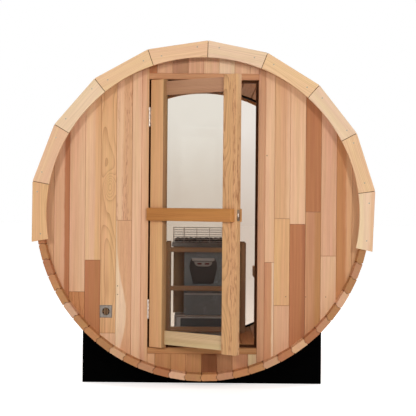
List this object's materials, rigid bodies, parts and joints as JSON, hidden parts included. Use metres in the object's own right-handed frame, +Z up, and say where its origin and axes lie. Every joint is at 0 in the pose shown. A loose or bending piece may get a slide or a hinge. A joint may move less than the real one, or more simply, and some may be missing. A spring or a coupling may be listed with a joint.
{
  "type": "barrel sauna",
  "caption": "Barrel-shaped cedar sauna cabin on black cradles, with an arched front trim, a glazed door that swings outward, side benches, a guarded heater and a round rear glass.",
  "frame": {"origin": "on the ground under the middle of the front cradle", "axes": "+Z up, +Y from the door end to the glazed rear end, +X to the right as seen from the front"},
  "size_m": [2.1835, 2.8244, 2.2218],
  "materials": {
    "stave_cedar": "planed cedar stave",
    "trim_cedar": "planed pale cedar",
    "wall_cedar": "planed cedar board",
    "door_cedar": "planed golden cedar",
    "roof_cedar": "planed cedar board",
    "inner_cedar": "planed cedar",
    "cradle_black": "matt black",
    "clear_glass": "clear toughened",
    "black_rubber": "matt",
    "band_steel": "rolled stainless band",
    "hinge_steel": "satin",
    "heater_paint": "dark grey textured",
    "heater_steel": "satin sheet",
    "heater_stone": "dark broken stone"
  },
  "bodies": {
    "cabin": {"staves_top": "stave_cedar", "staves_left": "stave_cedar", "staves_right": "stave_cedar", "staves_bottom": "stave_cedar", "roof_panels": "roof_cedar", "steel_bands": "band_steel", "front_arch_trim": "trim_cedar", "rear_arch_trim": "trim_cedar", "front_cradle": "cradle_black", "rear_cradle": "cradle_black", "front_wall_left": "wall_cedar", "front_wall_right": "wall_cedar", "front_wall_over_door": "wall_cedar", "front_wall_under_door": "wall_cedar", "left_door_post": "wall_cedar", "right_door_post": "wall_cedar", "door_header": "wall_cedar", "door_sill": "wall_cedar", "door_stops": "inner_cedar", "vent_plate": "hinge_steel", "vent_damper": "inner_cedar", "rear_glass": "clear_glass", "rear_gasket": "black_rubber", "left_bench_seat": "inner_cedar", "right_bench_seat": "inner_cedar", "left_bench_supports": "inner_cedar", "right_bench_supports": "inner_cedar", "heater_backboard": "inner_cedar", "heater_cabinet": "heater_paint", "heater_base_box": "heater_steel", "stone_tray": "heater_steel", "heater_stones": "heater_stone", "stone_cage": "heater_steel", "guard_posts": "inner_cedar", "guard_rails": "inner_cedar", "hinge_frame_leaves": "hinge_steel", "door_strike": "hinge_steel"},
    "door": {"door_left_stile": "door_cedar", "door_right_stile": "door_cedar", "door_top_rail": "door_cedar", "door_bottom_rail": "door_cedar", "door_glass": "clear_glass", "door_outer_bar": "door_cedar", "door_inner_bar": "door_cedar", "hinge_door_leaves": "hinge_steel", "door_catch": "hinge_steel"}
  },
  "joints": [
    {"name": "door_hinge", "type": "hinge", "parent": "cabin", "child": "door", "pos_m": [-0.35, -0.2085, 1.1175], "axis": [0, 0, -1], "range_deg": [-38, 52]}
  ]
}
